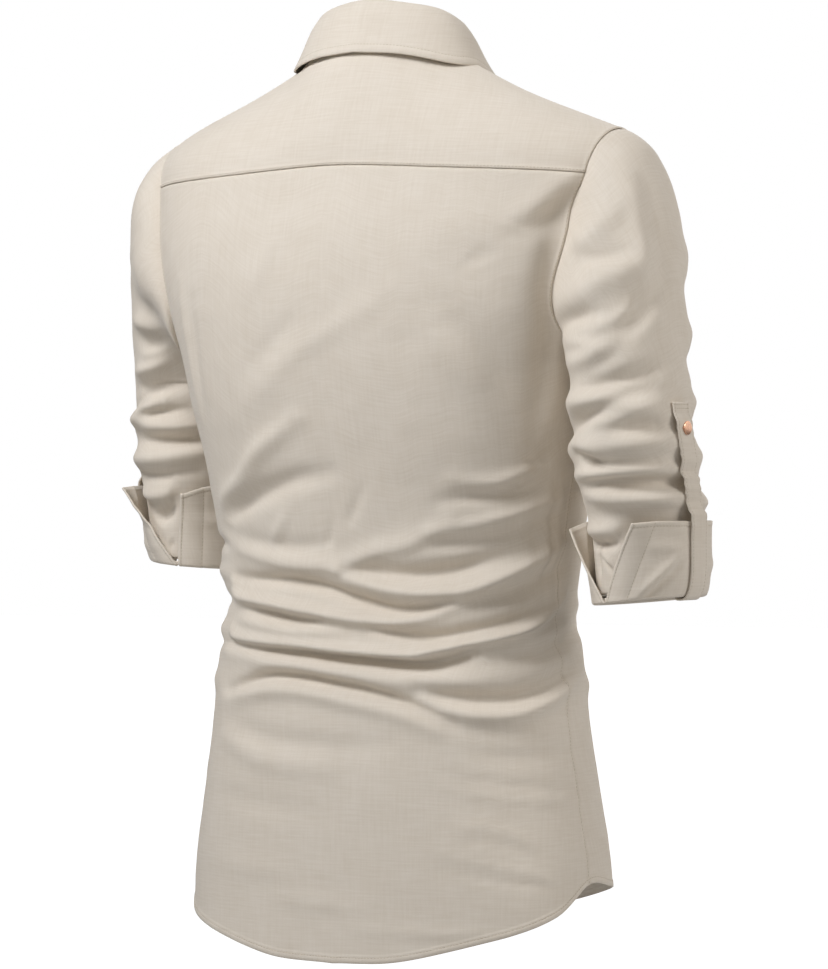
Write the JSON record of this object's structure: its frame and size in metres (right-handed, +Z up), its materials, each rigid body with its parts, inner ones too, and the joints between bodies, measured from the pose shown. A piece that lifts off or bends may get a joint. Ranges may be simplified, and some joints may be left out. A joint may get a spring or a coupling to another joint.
{
  "type": "shirt kurta",
  "caption": "Shirt kurta in plain linen-cotton, filled out as worn, with a turn-down collar, back yoke, curved hem and rolled sleeves held by buttoned tabs.",
  "frame": {"origin": "midway between the two high shoulder points, where the wearer's shoulders carry the garment", "axes": "+Z up, towards the collar; the front faces -Y; the wearer's right sleeve is at -X"},
  "size_m": [0.5813, 0.2637, 0.7939],
  "materials": {
    "linen": "matt plain weave with slubs",
    "copper_button": "satin copper-coloured metal"
  },
  "bodies": {
    "root": {"yoke": "linen", "back": "linen", "front": "linen", "placket": "linen", "collar_stand": "linen", "collar_leaf": "linen", "sleeve_right": "linen", "cuff_right": "linen", "tab_right": "linen", "sleeve_left": "linen", "cuff_left": "linen", "tab_left": "linen", "tab_button_right": "copper_button", "tab_button_left": "copper_button", "neck_button": "copper_button", "placket_button_1": "copper_button", "placket_button_2": "copper_button", "placket_button_3": "copper_button", "placket_button_4": "copper_button"}
  },
  "joints": []
}
